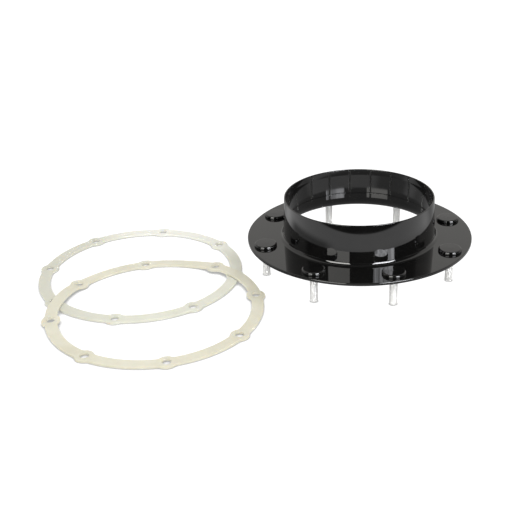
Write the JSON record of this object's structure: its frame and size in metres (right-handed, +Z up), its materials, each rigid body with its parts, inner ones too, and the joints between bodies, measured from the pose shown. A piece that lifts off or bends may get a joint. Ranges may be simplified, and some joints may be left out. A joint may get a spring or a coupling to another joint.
{
  "type": "toilet flange",
  "caption": "Gloss black round flange with a raised pipe collar, captive studs under capped heads and two loose multi-hole ring gaskets.",
  "frame": {"origin": "on the collar's axis at the plate's underside, the centre of the stud circle", "axes": "+Z up the collar, away from the studs; +X to the right with the two gaskets lying at -X, as they are stored; the gasket that lies on top is towards -Y"},
  "size_m": [0.3484, 0.2408, 0.0572],
  "materials": {
    "body_black": "polished piano black",
    "cap_black": "polished piano black",
    "stud_steel": "bright stainless, rolled thread",
    "gasket_silicone": "translucent off-white silicone, satin"
  },
  "bodies": {
    "flange": {"flange_body": "body_black", "stud_1": "stud_steel", "stud_2": "stud_steel", "stud_3": "stud_steel", "stud_4": "stud_steel", "stud_5": "stud_steel", "stud_6": "stud_steel", "stud_7": "stud_steel", "stud_8": "stud_steel", "stud_cap_1": "cap_black", "stud_cap_2": "cap_black", "stud_cap_3": "cap_black", "stud_cap_4": "cap_black", "stud_cap_5": "cap_black", "stud_cap_6": "cap_black", "stud_cap_7": "cap_black", "stud_cap_8": "cap_black"},
    "back_gasket": {"back_gasket": "gasket_silicone"},
    "front_gasket": {"front_gasket": "gasket_silicone"}
  },
  "joints": [
    {"name": "back_gasket_lift", "type": "slide", "parent": "flange", "child": "back_gasket", "axis": [0, 0, 1], "range_m": [0, 0.06]},
    {"name": "front_gasket_lift", "type": "slide", "parent": "back_gasket", "child": "front_gasket", "axis": [0, 0, 1], "range_m": [0, 0.06]}
  ]
}
